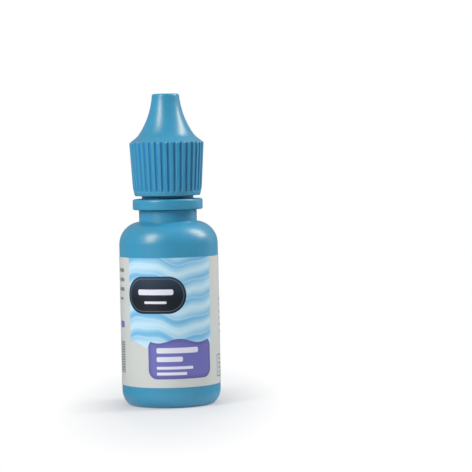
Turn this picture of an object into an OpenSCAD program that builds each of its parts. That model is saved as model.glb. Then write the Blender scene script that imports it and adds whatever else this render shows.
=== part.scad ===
// An eye drop bottle: a blown squeeze bottle with a pressed-in dropper tip, a ribbed screw
// cap with a tall nose, a loose tamper-evident ring, a wrap-around label and its filling.
// The origin is the centre of the foot, +Z runs up the axis and the label faces -Y.

/* [Body] */
// Outside diameter of the barrel
body_d = 24.2; // [20:0.1:32]
// Height at which the shoulder meets the collar
shoulder_top = 44.9; // [40:0.05:60]
// Radius of the shoulder's curve
shoulder_radius = 5.6; // [4:0.1:8]
// Radius of the heel's curve
heel_radius = 4.4; // [2.5:0.05:5]
// Radius of the small curve between the heel and the foot
foot_radius = 0.8; // [0.3:0.05:1.2]
// Width of the flat ring that the bottle stands on
foot_width = 1.6; // [0.8:0.1:3]
// Depth of the hollow under the base
push_up = 0.6; // [0.2:0.1:1.2]
// Wall thickness of the blown body
body_wall = 0.9; // [0.6:0.05:1.2]

/* [Neck] */
// Diameter of the collar that carries the ring
collar_d = 14.2; // [13.8:0.1:16]
// Height of the collar
collar_h = 2.85; // [1.5:0.05:6]
// Height of the neck above the collar
neck_h = 11.65; // [10:0.05:14]
// Diameter of the neck under its thread
neck_d = 11.3; // [10.8:0.1:11.6]
// Diameter of the bore that takes the dropper tip
neck_bore_d = 8.9; // [8:0.1:9.4]
// Diameter of the bead that holds the ring down
bead_d = 12.66; // [12.4:0.02:13]
// Height of the bead's upright side
bead_h = 1.35; // [0.8:0.05:1.4]

/* [Thread] */
// Advance of the thread in one turn
thread_lead = 2.12; // [1.9:0.01:2.4]
// Depth of the neck's thread
thread_depth = 0.7; // [0.5:0.05:0.8]
// Width of a thread at its foot
thread_foot_w = 1; // [0.7:0.05:1]
// Width of a thread at its crest
thread_crest_w = 0.45; // [0.3:0.05:0.5]
// Turns of thread on the neck
neck_turns = 2; // [1.5:0.25:2]
// Turns of thread in the cap
cap_turns = 1.5; // [1:0.25:1.5]

/* [Tamper-evident ring] */
// Outside diameter of the ring
ring_d = 17.18; // [16:0.02:19]
// Height of the ring
ring_h = 2.62; // [2.3:0.01:3.2]
// Height of the lip under the bead
ring_lip_h = 1.8; // [1:0.05:2.1]

/* [Cap] */
// Gap between the ring and the cap
cap_gap = 0.78; // [0.3:0.02:1]
// Height of the cap's top over the dropper tip's
cap_over_tip = 3.92; // [3.2:0.02:6]
// Diameter of the cap at its lower edge
cap_foot_d = 16.04; // [15.4:0.02:17]
// Diameter where the foot's taper meets the flaring skirt
cap_band_d = 16.94; // [16.4:0.02:18]
// Diameter at the flared edge
cap_flare_d = 18.24; // [17.6:0.02:21]
// Height of the foot's taper
cap_band_h = 2.05; // [1.4:0.05:3]
// Height of the plain band under the grooves
cap_plain_h = 0.8; // [0.6:0.05:1.4]
// Height of the flared edge over the cap's lower edge
cap_skirt_h = 12.95; // [11:0.05:14]
// Height of the bevel above the flared edge
cap_bevel_h = 1.6; // [1:0.02:2.4]
// Diameter at the foot of the nose
nose_foot_d = 14.12; // [13.6:0.02:15]
// Diameter at the top of the nose
nose_top_d = 6.64; // [6.2:0.02:8]
// Radius of the nose's hollow curve
nose_curve = 19.8; // [16:0.2:40]
// Wall thickness of the nose
cap_wall = 1.25; // [1:0.05:1.4]
// Number of ribs
rib_count = 36; // [24:1:40]
// Diameter of the groove between two ribs
groove_d = 0.8; // [0.4:0.02:0.9]

/* [Dropper tip] */
// Depth of the plug in the neck
plug_h = 6.5; // [5:0.1:7.5]
// Wall thickness of the plug
plug_wall = 1.1; // [0.8:0.05:1.4]
// Diameter of the flange that sits on the neck
flange_d = 10.8; // [10:0.1:11]
// Thickness of the flange
flange_h = 1; // [0.6:0.05:1.4]
// Diameter at the foot of the nozzle
nozzle_foot_d = 7.2; // [6.4:0.1:7.6]
// Diameter at the top of the nozzle
nozzle_top_d = 3.5; // [3.2:0.1:3.8]
// Height of the nozzle over the flange
nozzle_h = 11.8; // [10:0.1:12]
// Radius of the nozzle's hollow curve
nozzle_curve = 32; // [20:1:60]
// Diameter of the channel in the nozzle
channel_d = 1.8; // [1.2:0.1:2]
// Diameter of the metering hole
metering_d = 0.6; // [0.3:0.05:0.8]
// Length of the metering hole
metering_h = 1.2; // [0.8:0.1:2]
// Diameter of the exit recess in which a drop forms
exit_d = 1.7; // [1.4:0.05:2]
// Depth of the exit recess
exit_h = 1.2; // [0.8:0.1:1.6]

/* [Label] */
// Distance from the heel's curve up to the label's lower edge
label_heel_gap = 1.62; // [0.2:0.02:8]
// Distance from the label's upper edge up to the shoulder's curve
label_shoulder_gap = 2.86; // [0.2:0.02:12]
// Thickness of the label
label_t = 0.06; // [0.04:0.01:0.1]
// Width of the open seam at the back
label_seam = 1.6; // [0.5:0.1:4]

/* [Filling] */
// Height of the liquid's surface over the base
fill_level = 27.2; // [10:0.1:36]

/* [Hidden] */

// Facets of the rounds, of the long hollow curves, of the small edges and of the grooves
$fn = 128;
curve_fn = 512;
small_fn = 48;
groove_fn = 24;

// How far a cut runs past what it cuts
overrun = 1;
// How far a thread's foot lies inside its wall
thread_bite = 0.15;
// Steps in one turn of a thread, and those over which it runs out
thread_steps = 36;
run_out_steps = 5;
// What is left of a thread's depth where it ends inside the wall
run_out_share = 0.08;
// Turns by which the cap's thread starts after the neck's
thread_lag_turns = 0.35;

// Clearances: ring on its collar, lip to neck, lip to bead and bead to the ring's bore
ring_seat_gap = 0.05;
ring_neck_gap = 0.3;
ring_bead_gap = 0.25;
ring_bore_gap = 0.3;
// Clearances: thread crests to what they pass, and the flanks that bear
thread_crest_gap = 0.25;
thread_flank_gap = 0.1;
// Clearances: plug in its bore, sealing pin in the exit and over its floor
plug_gap = 0.05;
pin_gap = 0.08;
pin_floor_gap = 0.2;
boss_gap = 0.3;
// Glue line under the label, and the liquid's distance from the wall
label_glue = 0.02;
liquid_gap = 0.03;

// Rise of the heel as a share of its radius
heel_share = 0.8;
// Sealing beads on the plug: how far they press, their half height and places on the plug
seal_press = 0.07;
seal_half_h = 0.5;
seal_place_shares = [0.3, 0.7];
// Small edges
rim_edge = 0.3;
bead_slope_h = 0.7;
ring_top_edge = 0.5;
ring_foot_edge = 0.4;
cap_foot_edge = 0.28;
cap_mouth_edge = 0.35;
cap_top_edge = 0.55;
plug_edge = 0.4;
flange_edge = 0.25;
nozzle_edge = 0.35;
// Inside of the cap's top: wall over the hollow, and the boss round the sealing pin
cap_top_wall = 1.6;
boss_d = 3.2;
// Angle at which one groove of the cap lies, from +X
groove_phase = -85;
// Height of the funnel between the plug's hollow and the channel
funnel_h = 3;

body_r = body_d / 2;
collar_r = collar_d / 2;
neck_r = neck_d / 2;
neck_bore_r = neck_bore_d / 2;
bead_r = bead_d / 2;

// Centres of the heel's and the foot's curves, on the radius and in height
heel_x = body_r - heel_radius;
heel_z = heel_share * heel_radius;
foot_x = heel_x + sqrt(pow(heel_radius - foot_radius, 2) - pow(heel_z - foot_radius, 2));
foot_z = foot_radius;
push_up_r = foot_x - foot_width;
push_up_curve = (pow(push_up_r, 2) + pow(push_up, 2)) / (2 * push_up);

// Centre of the shoulder's curve
shoulder_x = body_r - shoulder_radius;
shoulder_reach = max(0, collar_r - shoulder_x);
shoulder_z = shoulder_top - sqrt(pow(shoulder_radius, 2) - pow(shoulder_reach, 2));

// Heights up the neck
collar_top = shoulder_top + collar_h;
neck_top = collar_top + neck_h;
ring_z = collar_top + ring_seat_gap;
ring_top = ring_z + ring_h;
bead_z = ring_z + ring_lip_h + ring_bead_gap;
bead_top = bead_z + bead_h + bead_slope_h;
cap_z = ring_top + cap_gap;
thread_z = bead_top + thread_foot_w / 2;

// Thread radii, and how far the cap's thread lies under the neck's where they bear
thread_crest_r = neck_r + thread_depth;
cap_bore_r = thread_crest_r + thread_crest_gap;
cap_crest_r = neck_r + thread_crest_gap;
thread_slope = (thread_foot_w - thread_crest_w) / (2 * thread_depth);
thread_half_w = thread_foot_w / 2 - thread_slope * thread_crest_gap;
thread_drop = thread_half_w + thread_crest_w / 2 + thread_flank_gap;

// The dropper tip's outline
plug_r = neck_bore_r - plug_gap;
plug_bore_r = plug_r - plug_wall;
plug_z = neck_top - plug_h;
flange_top = neck_top + flange_h;
nozzle_top = flange_top + nozzle_h;
nozzle_foot_r = nozzle_foot_d / 2;
nozzle_top_r = nozzle_top_d / 2;
exit_z = nozzle_top - exit_h;
metering_z = exit_z - metering_h;
nozzle_half = [nozzle_top_r - nozzle_foot_r, nozzle_h] / 2;
nozzle_bow = sqrt(pow(nozzle_curve, 2) - pow(norm(nozzle_half), 2)) / norm(nozzle_half);
nozzle_x = nozzle_foot_r + nozzle_half[0] + nozzle_half[1] * nozzle_bow;
nozzle_centre_z = flange_top + nozzle_half[1] - nozzle_half[0] * nozzle_bow;

// The cap's outline
cap_top = nozzle_top + cap_over_tip;
cap_foot_r = cap_foot_d / 2;
cap_band_r = cap_band_d / 2;
cap_flare_r = cap_flare_d / 2;
nose_foot_r = nose_foot_d / 2;
nose_top_r = nose_top_d / 2;
band_z = cap_z + cap_band_h;
flare_z = cap_z + cap_skirt_h;
nose_z = flare_z + cap_bevel_h;
groove_r = groove_d / 2;
groove_z = cap_z + cap_plain_h;
skirt_slope = (cap_flare_r - cap_band_r) / (flare_z - band_z);
groove_tilt = atan(skirt_slope);

// Centre of the nose's hollow curve, which passes through its foot and its top
nose_half = [nose_top_r - nose_foot_r, cap_top - nose_z] / 2;
nose_bow = sqrt(pow(nose_curve, 2) - pow(norm(nose_half), 2)) / norm(nose_half);
nose_x = nose_foot_r + nose_half[0] + nose_half[1] * nose_bow;
nose_centre_z = nose_z + nose_half[1] - nose_half[0] * nose_bow;

// The sealing pin that hangs from the cap's top
pin_r = exit_d / 2 - pin_gap;
pin_z = exit_z + pin_floor_gap;
boss_z = nozzle_top + boss_gap;
cap_roof_z = cap_top - cap_top_wall;

// The label's outline
label_r = body_r + label_glue;
label_bottom = heel_z + label_heel_gap;
label_top = shoulder_z - label_shoulder_gap;
label_seam_a = 360 * label_seam / (2 * PI * label_r);

// Colours, as seen
turquoise = [0.27, 0.59, 0.75];
tip_white = [0.93, 0.95, 0.96];
label_grey = [0.85, 0.86, 0.87];
clear_water = [0.80, 0.91, 0.96, 0.6];

// A rectangle on the radius and in height, from one corner to the other
module span(from, to) {
    translate(from)
        square(to - from);
}

// What rounding takes off a convex corner: side gives the way out of the corner
module corner_off(corner, radius, side) {
    centre = corner - radius * side;
    reach = radius + overrun;
    difference() {
        translate([min(centre[0], centre[0] + reach * side[0]), min(centre[1], centre[1] + reach * side[1])])
            square(reach);
        translate(centre)
            circle(radius, $fn = small_fn);
    }
}

// The space inside the body, drawn in by a gap, from its floor up to a height
module cavity_outline(gap, top) {
    inner_r = body_r - body_wall - gap;
    floor_z = push_up + body_wall + gap;
    heel_in = heel_radius - body_wall - gap;
    shoulder_in = shoulder_radius - body_wall - gap;
    intersection() {
        union() {
            span([0, heel_z], [inner_r, shoulder_z]);
            span([0, 0], [heel_x, heel_z]);
            translate([heel_x, heel_z])
                circle(heel_in);
            span([0, heel_z], [shoulder_x, shoulder_z + shoulder_in]);
            translate([shoulder_x, shoulder_z])
                circle(shoulder_in);
            span([0, shoulder_z], [neck_bore_r - gap, neck_top + overrun]);
        }
        span([0, floor_z], [body_r, top]);
    }
}

// The foot, the heel, the barrel and the shoulder
module barrel_outline() {
    to_foot = [foot_x - heel_x, foot_z - heel_z] * 2;
    reach = 2 * heel_radius;
    intersection() {
        union() {
            span([0, heel_z], [body_r, shoulder_z]);
            span([0, shoulder_z], [shoulder_x, shoulder_top]);
            intersection() {
                translate([shoulder_x, shoulder_z])
                    circle(shoulder_radius);
                span([0, shoulder_z], [body_r, shoulder_top]);
            }
            polygon([[0, 0], [foot_x, 0], [foot_x, foot_z], [heel_x, heel_z], [0, heel_z]]);
            translate([foot_x, foot_z])
                circle(foot_radius);
            intersection() {
                translate([heel_x, heel_z])
                    circle(heel_radius);
                polygon([
                    [heel_x, heel_z],
                    [heel_x + to_foot[0], heel_z + to_foot[1]],
                    [heel_x + reach, heel_z + to_foot[1]],
                    [heel_x + reach, heel_z]
                ]);
            }
        }
        span([0, 0], [body_r, shoulder_top]);
    }
}

// The collar and the neck with the bead that holds the ring
module neck_outline() {
    difference() {
        span([0, shoulder_z], [neck_r, neck_top]);
        corner_off([neck_r, neck_top], rim_edge, [1, 1]);
    }
    span([0, shoulder_top - body_wall], [collar_r, collar_top]);
    polygon([
        [0, bead_z],
        [bead_r, bead_z],
        [bead_r, bead_z + bead_h],
        [neck_r, bead_top],
        [0, bead_top]
    ]);
}

// A right-handed helical ridge from its foot to its crest, run out at both ends
module ridge(foot_r, crest_r, start_a, start_z, turns) {
    steps = round(turns * thread_steps);
    outward = crest_r > foot_r;
    points = [
        for (i = [0:steps])
            let (
                a = start_a + 360 * i / thread_steps,
                z = start_z + thread_lead * i / thread_steps,
                share = max(run_out_share, min(1, min(i, steps - i) / run_out_steps)),
                r = foot_r + (crest_r - foot_r) * share
            )
            each [
                [foot_r * cos(a), foot_r * sin(a), z - thread_foot_w / 2],
                [r * cos(a), r * sin(a), z - thread_crest_w / 2],
                [r * cos(a), r * sin(a), z + thread_crest_w / 2],
                [foot_r * cos(a), foot_r * sin(a), z + thread_foot_w / 2]
            ]
    ];
    sides = [
        for (i = [0:steps - 1])
            for (k = [0:3])
                let (a = 4 * i + k, b = 4 * i + (k + 1) % 4)
                each [[a, b, b + 4], [a, b + 4, a + 4]]
    ];
    end = 4 * steps;
    caps = [[0, 3, 2], [0, 2, 1], [end, end + 1, end + 2], [end, end + 2, end + 3]];
    faces = [
        for (f = concat(sides, caps))
            outward ? f : [f[2], f[1], f[0]]
    ];
    polyhedron(points, faces);
}

module bottle_body() {
    color(turquoise) {
        difference() {
            rotate_extrude()
                difference() {
                    union() {
                        barrel_outline();
                        neck_outline();
                    }
                    cavity_outline(0, neck_top + overrun);
                }
            translate([0, 0, push_up - push_up_curve])
                sphere(push_up_curve);
        }
        ridge(neck_r - thread_bite, thread_crest_r, 0, thread_z, neck_turns);
    }
}

// The plug's two sealing beads, the flange and the hollow-sided nozzle
module dropper_outline() {
    difference() {
        span([0, plug_z], [plug_r, neck_top]);
        corner_off([plug_r, plug_z], plug_edge, [1, -1]);
    }
    for (share = seal_place_shares)
        translate([0, plug_z + share * plug_h])
            polygon([
                [0, -seal_half_h],
                [plug_r, -seal_half_h],
                [neck_bore_r + seal_press, 0],
                [plug_r, seal_half_h],
                [0, seal_half_h]
            ]);
    difference() {
        span([0, neck_top], [flange_d / 2, flange_top]);
        corner_off([flange_d / 2, flange_top], flange_edge, [1, 1]);
    }
    difference() {
        span([0, neck_top], [nozzle_foot_r, nozzle_top]);
        translate([nozzle_x, nozzle_centre_z])
            circle(nozzle_curve, $fn = curve_fn);
        corner_off([nozzle_top_r, nozzle_top], nozzle_edge, [1, 1]);
    }
}

// The drop's way through the tip: the plug's hollow, a funnel, the channel, the metering
// hole and the exit recess
module dropper_way() {
    funnel_z = neck_top - funnel_h / 2;
    polygon([
        [0, plug_z - overrun],
        [plug_bore_r, plug_z - overrun],
        [plug_bore_r, funnel_z],
        [channel_d / 2, funnel_z + funnel_h],
        [channel_d / 2, metering_z],
        [metering_d / 2, metering_z],
        [metering_d / 2, exit_z],
        [exit_d / 2, exit_z],
        [exit_d / 2, nozzle_top + overrun],
        [0, nozzle_top + overrun]
    ]);
}

module dropper_tip() {
    color(tip_white)
        rotate_extrude()
            difference() {
                dropper_outline();
                dropper_way();
            }
}

module tamper_evident_ring() {
    lip_r = neck_r + ring_neck_gap;
    bore_r = bead_r + ring_bore_gap;
    color(turquoise)
        rotate_extrude()
            difference() {
                span([lip_r, ring_z], [ring_d / 2, ring_top]);
                span([0, ring_z + ring_lip_h], [bore_r, ring_top + overrun]);
                corner_off([ring_d / 2, ring_top], ring_top_edge, [1, 1]);
                corner_off([ring_d / 2, ring_z], ring_foot_edge, [1, -1]);
            }
}

// The cap's outside: tapered foot, flaring skirt, bevel and hollow-sided nose
module cap_outline() {
    difference() {
        polygon([
            [0, cap_z],
            [cap_foot_r, cap_z],
            [cap_band_r, band_z],
            [cap_flare_r, flare_z],
            [nose_foot_r, nose_z],
            [0, nose_z]
        ]);
        corner_off([cap_foot_r, cap_z], cap_foot_edge, [1, -1]);
    }
    difference() {
        span([0, flare_z], [nose_foot_r, cap_top]);
        translate([nose_x, nose_centre_z])
            circle(nose_curve, $fn = curve_fn);
        corner_off([nose_top_r, cap_top], cap_top_edge, [1, 1]);
    }
}

// The cap's inside: the threaded bore, and the nose's hollow at an even wall
module cap_hollow() {
    difference() {
        span([0, cap_z - overrun], [cap_bore_r, cap_roof_z]);
        translate([nose_x, nose_centre_z])
            circle(nose_curve + cap_wall, $fn = curve_fn);
        span([0, boss_z], [boss_d / 2, cap_top]);
        span([0, pin_z], [pin_r, cap_top]);
    }
    polygon([
        [0, cap_z - overrun],
        [cap_bore_r + cap_mouth_edge + overrun, cap_z - overrun],
        [cap_bore_r, cap_z + cap_mouth_edge],
        [0, cap_z + cap_mouth_edge]
    ]);
}

// One groove between two ribs, along the line of the skirt's flare, from the taper of the foot,
// where it gets shallow, to the bevel
module rib_groove() {
    length = (flare_z - groove_z) / cos(groove_tilt) + overrun;
    translate([cap_band_r - (band_z - groove_z) * skirt_slope, 0, groove_z])
        rotate([0, groove_tilt, 0])
            cylinder(h = length, r = groove_r, $fn = groove_fn);
}

module screw_cap() {
    cap_thread_z = thread_z + thread_lead * thread_lag_turns - thread_drop;
    color(turquoise) {
        difference() {
            rotate_extrude()
                difference() {
                    cap_outline();
                    cap_hollow();
                }
            for (i = [0:rib_count - 1])
                rotate([0, 0, groove_phase + 360 * i / rib_count])
                    rib_groove();
        }
        ridge(cap_bore_r + thread_bite, cap_crest_r, 360 * thread_lag_turns, cap_thread_z, cap_turns);
    }
}

module label() {
    color(label_grey)
        rotate([0, 0, 90 + label_seam_a / 2])
            rotate_extrude(angle = 360 - label_seam_a)
                span([label_r, label_bottom], [label_r + label_t, label_top]);
}

module eye_drop_solution() {
    color(clear_water)
        rotate_extrude()
            cavity_outline(liquid_gap, fill_level);
}

bottle_body();
dropper_tip();
tamper_evident_ring();
screw_cap();
label();
eye_drop_solution();
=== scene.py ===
# %% [markdown]
# # A squeeze bottle for eye drops
#
# The bottle is a blown squeeze body, a pressed-in dropper tip, a loose ring under the cap, a ribbed screw
# cap with a tall nose, a printed label and its filling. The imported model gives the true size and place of
# each of them, and this lesson rebuilds what shows at a finer grain: round edges, soft grooves, threads
# that run out into the wall, and finishes. Blender measures in metres, so sizes are written as a number of
# millimetres.

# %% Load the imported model
import math

import bpy
import numpy as np
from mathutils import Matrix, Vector


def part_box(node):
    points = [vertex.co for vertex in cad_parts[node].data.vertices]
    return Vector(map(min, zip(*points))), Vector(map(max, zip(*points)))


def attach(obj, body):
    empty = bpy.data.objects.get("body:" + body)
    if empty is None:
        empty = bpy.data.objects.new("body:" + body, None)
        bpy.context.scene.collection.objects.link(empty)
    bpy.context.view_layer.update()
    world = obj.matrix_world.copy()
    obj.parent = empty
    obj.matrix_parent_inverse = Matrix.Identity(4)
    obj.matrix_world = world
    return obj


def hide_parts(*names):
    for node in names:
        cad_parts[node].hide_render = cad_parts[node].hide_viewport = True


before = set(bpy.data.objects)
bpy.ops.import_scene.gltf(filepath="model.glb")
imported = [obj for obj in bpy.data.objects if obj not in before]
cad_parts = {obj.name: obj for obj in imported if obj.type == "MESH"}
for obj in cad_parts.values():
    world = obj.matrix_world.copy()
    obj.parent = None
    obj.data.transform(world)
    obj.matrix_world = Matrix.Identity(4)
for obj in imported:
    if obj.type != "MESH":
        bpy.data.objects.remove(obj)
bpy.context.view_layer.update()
MM = 0.001

# %% [markdown]
# ## Measuring the frame
#
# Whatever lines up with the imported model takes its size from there. Each piece is turned round one upright
# axis, so its box gives its outside radius and the heights of its two ends. The sizes that a box can't
# give, such as the neck under the cap, are named next to the piece that they shape.

# %% Radius and heights of a node
def reach(node):
    """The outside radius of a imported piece, and the heights of its foot and its top."""
    low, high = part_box(node)
    return high.x, low.z, high.z


body_r, _, neck_top = reach("bottle_body")
tip_flange_r, plug_z, nozzle_top = reach("dropper_tip")
ring_r, ring_z, ring_top = reach("tamper_evident_ring")
cap_flare_r, cap_z, cap_top = reach("screw_cap")
label_r, label_bottom, label_top = reach("label")
print(f"cap from {cap_z / MM:.2f} to {cap_top / MM:.2f} mm, flare radius {cap_flare_r / MM:.2f} mm")

# %% [markdown]
# ## Turned shapes
#
# Everything here is turned, as on a potter's wheel. The shape is drawn as a line of points, each a radius
# and a height, and the line is spun round the axis. Real mouldings have no sharp edges, so a corner is
# given a rounding, and the corner is swapped for an arc that meets both sides. A long curve, such as the
# shoulder, is an arc of its own.

# %% Arcs and rounded corners
ARC_STEP = math.radians(15)


def arc(centre, radius, start, end, steps):
    """Points on a circle from one angle to another, in degrees, in the plane of radius and height."""
    angles = [math.radians(start + (end - start) * i / steps) for i in range(steps + 1)]
    return [(centre[0] + radius * math.cos(a), centre[1] + radius * math.sin(a), 0) for a in angles]


def rounded(corners):
    """Swaps each (radius, height, rounding) corner for an arc that meets the sides before and after it."""
    outline = []
    for before, corner, after in zip(corners[:1] + corners, corners, corners[1:] + corners[-1:]):
        here, rounding = Vector(corner[:2]), corner[2]
        if rounding == 0:
            outline.append(here)
            continue
        to_before = (Vector(before[:2]) - here).normalized()
        to_after = (Vector(after[:2]) - here).normalized()
        half = to_before.angle(to_after) / 2
        centre = here + (to_before + to_after).normalized() * rounding / math.sin(half)
        first = here + to_before * rounding / math.tan(half) - centre
        last = here + to_after * rounding / math.tan(half) - centre
        start = math.atan2(first.y, first.x)
        sweep = (math.atan2(last.y, last.x) - start + math.pi) % math.tau - math.pi
        steps = max(2, math.ceil(abs(sweep) / ARC_STEP))
        for i in range(steps + 1):
            angle = start + sweep * i / steps
            outline.append(centre + rounding * Vector((math.cos(angle), math.sin(angle))))
    return outline


print("a right angle is rounded with", len(rounded([(0, 0, 0), (1, 0, 0.2), (1, 1, 0)])) - 2, "points")

# %% [markdown]
# An operator acts on all that is selected, so every step starts from a clean slate. The line is drawn as by
# hand: a small plane is merged to one vertex, moved to the first point and extruded from point to point.
# Spin then turns the line. Points on the axis meet there, so merging doubles closes both the seam and the
# poles, and only then are the normals turned outwards.

# %% Draw a line and spin it
MERGE = 0.002 * MM
AXIS = (0, 0, 1)
CENTRE = (0, 0, 0)
SMOOTH_ANGLE = math.radians(40)


def deselect():
    """Leaves edit mode and lets go of everything."""
    if bpy.context.object and bpy.context.object.mode == "EDIT":
        bpy.ops.object.mode_set(mode="OBJECT")
    bpy.ops.object.select_all(action="DESELECT")


def draw(outline, closed=False):
    """Starts a new mesh with one line through the outline's points, all selected, in edit mode."""
    deselect()
    bpy.ops.mesh.primitive_plane_add(size=MM, location=CENTRE, enter_editmode=True)
    bpy.ops.mesh.merge(type="CENTER")
    points = [Vector((point[0], 0, point[1])) for point in outline]
    bpy.ops.transform.translate(value=points[0])
    for here, there in zip(points, points[1:] + points[:1] * closed):
        bpy.ops.mesh.extrude_vertices_move(TRANSFORM_OT_translate={"value": there - here})
    bpy.ops.mesh.select_all(action="SELECT")
    bpy.ops.mesh.remove_doubles(threshold=MERGE)


def spin(degrees, steps):
    """Spins what is selected round the axis, anticlockwise seen from above."""
    bpy.ops.mesh.spin(steps=steps, angle=-math.radians(degrees), center=CENTRE, axis=AXIS)


def turn(degrees):
    """Turns what is selected round the axis, anticlockwise seen from above."""
    bpy.ops.transform.rotate(value=-math.radians(degrees), orient_axis="Z", center_override=CENTRE)


def close(name):
    """Merges doubles, turns the faces outwards, shades the piece and gives it its name."""
    bpy.ops.mesh.select_all(action="SELECT")
    bpy.ops.mesh.remove_doubles(threshold=MERGE)
    bpy.ops.mesh.normals_make_consistent(inside=False)
    bpy.ops.object.mode_set(mode="OBJECT")
    bpy.ops.object.shade_smooth_by_angle(angle=SMOOTH_ANGLE)
    piece = bpy.context.object
    piece.name = piece.data.name = name
    triangles = sum(len(face.vertices) - 2 for face in piece.data.polygons)
    print(f"{name}: {triangles} triangles")
    return piece


def lathe(name, outline, steps, closed=False):
    """A turned piece. A closed outline is a ring, and an open one starts and ends on the axis."""
    draw(outline, closed)
    spin(360, steps)
    return close(name)


# %% [markdown]
# ## The bottle body
#
# The body is one wall, 0.9 mm thick, from the hollow under its foot up over the shoulder to the rim of the
# neck and back down inside. Drawing the outside and the inside as one line keeps the wall a single closed
# shell, which a Solidify modifier couldn't do here, because the neck's inside is straight while its
# outside has a collar and a bead. The heel's arc is cut off by the smaller one of the foot, so its centre
# lies a little lower than its radius, and the shoulder's arc stops short of the collar, to leave room for
# a small fillet.

# %% Sizes of the body and the neck
body_wall = 0.9 * MM
heel_radius = 4.4 * MM
heel_share = 0.8
heel_z = heel_share * heel_radius
foot_radius = 0.8 * MM
foot_width = 1.6 * MM
push_up = 0.6 * MM
shoulder_radius = 5.6 * MM
shoulder_top = 44.9 * MM
collar_r = 7.1 * MM
collar_top = 47.75 * MM
neck_r = 5.65 * MM
neck_bore_r = 4.45 * MM
bead_r = 6.33 * MM
bead_z = 49.85 * MM
bead_h = 1.35 * MM
bead_slope_h = 0.7 * MM

heel_x = body_r - heel_radius
foot_x = heel_x + math.sqrt((heel_radius - foot_radius) ** 2 - (heel_z - foot_radius) ** 2)
shoulder_x = body_r - shoulder_radius
shoulder_z = shoulder_top - math.sqrt(shoulder_radius**2 - (collar_r - shoulder_x) ** 2)
print(f"heel's centre at {heel_x / MM:.2f}, {heel_z / MM:.2f} mm; shoulder's at {shoulder_z / MM:.2f} mm")

# %% The outside of the body, from the middle of its foot to its rim
push_up_r = foot_x - foot_width
push_up_curve = (push_up_r**2 + push_up**2) / (2 * push_up)
push_up_reach = math.degrees(math.asin(push_up_r / push_up_curve))
foot_turn = math.degrees(math.atan2(foot_radius - heel_z, foot_x - heel_x))
shoulder_turn = math.degrees(math.acos((collar_r - shoulder_x) / shoulder_radius))
fillet_turn = 5
soft_edge = 0.25 * MM

body_outside = (
    arc((0, push_up - push_up_curve), push_up_curve, 90, 90 - push_up_reach, 8)
    + arc((foot_x, foot_radius), foot_radius, -90, foot_turn, 5)
    + arc((heel_x, heel_z), heel_radius, foot_turn, 0, 8)[1:]
    + arc((shoulder_x, shoulder_z), shoulder_radius, 0, shoulder_turn - fillet_turn, 18)
    + [
        (collar_r, shoulder_top, 0.5 * soft_edge),
        (collar_r, collar_top, soft_edge),
        (neck_r, collar_top, 0.5 * soft_edge),
        (neck_r, bead_z, 0.5 * soft_edge),
        (bead_r, bead_z, 0.5 * soft_edge),
        (bead_r, bead_z + bead_h, 1.5 * soft_edge),
        (neck_r, bead_z + bead_h + bead_slope_h, soft_edge),
        (neck_r, neck_top, 1.2 * soft_edge),
        (neck_bore_r, neck_top, 0.5 * soft_edge),
    ]
)
print(len(body_outside), "corners on the outside")

# %% The inside of the body, from its rim to the middle of its floor
floor_z = push_up + body_wall
heel_in = heel_radius - body_wall
floor_turn = math.degrees(math.asin((floor_z - heel_z) / heel_in))
body_inside = (
    [(neck_bore_r, shoulder_z + shoulder_radius - body_wall, soft_edge)]
    + arc((shoulder_x, shoulder_z), shoulder_radius - body_wall, 90, 0, 14)
    + arc((heel_x, heel_z), heel_in, 0, floor_turn, 5)
    + [(0, floor_z, 0)]
)
BODY_STEPS = 224
bottle_shell = lathe("bottle_shell", rounded(body_outside + body_inside), BODY_STEPS)

# %% [markdown]
# ## Threads
#
# A thread is a small four-sided section carried up a helix, so the Screw modifier makes it from one
# rectangle whose outer side is drawn in. On a real neck the ridge doesn't end in a step but sinks into the
# wall, so the crest's points near both ends are scaled towards the axis, section by section. A boolean
# union then makes the ridge one with its wall. The cap's ridge points inwards, and its crest is scaled
# outwards in the same way.

# %% Sizes of the threads
thread_lead = 2.12 * MM
thread_foot_w = 1 * MM
thread_crest_w = 0.45 * MM
thread_bite = 0.15 * MM
thread_z = bead_z + bead_h + bead_slope_h + thread_foot_w / 2
neck_crest_r = 6.35 * MM
cap_bore_r = 6.6 * MM
cap_crest_r = 5.9 * MM
cap_lag = 0.35
cap_drop = 0.732 * MM
SECTIONS_PER_TURN = 72
RUN_OUT = 10


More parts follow.
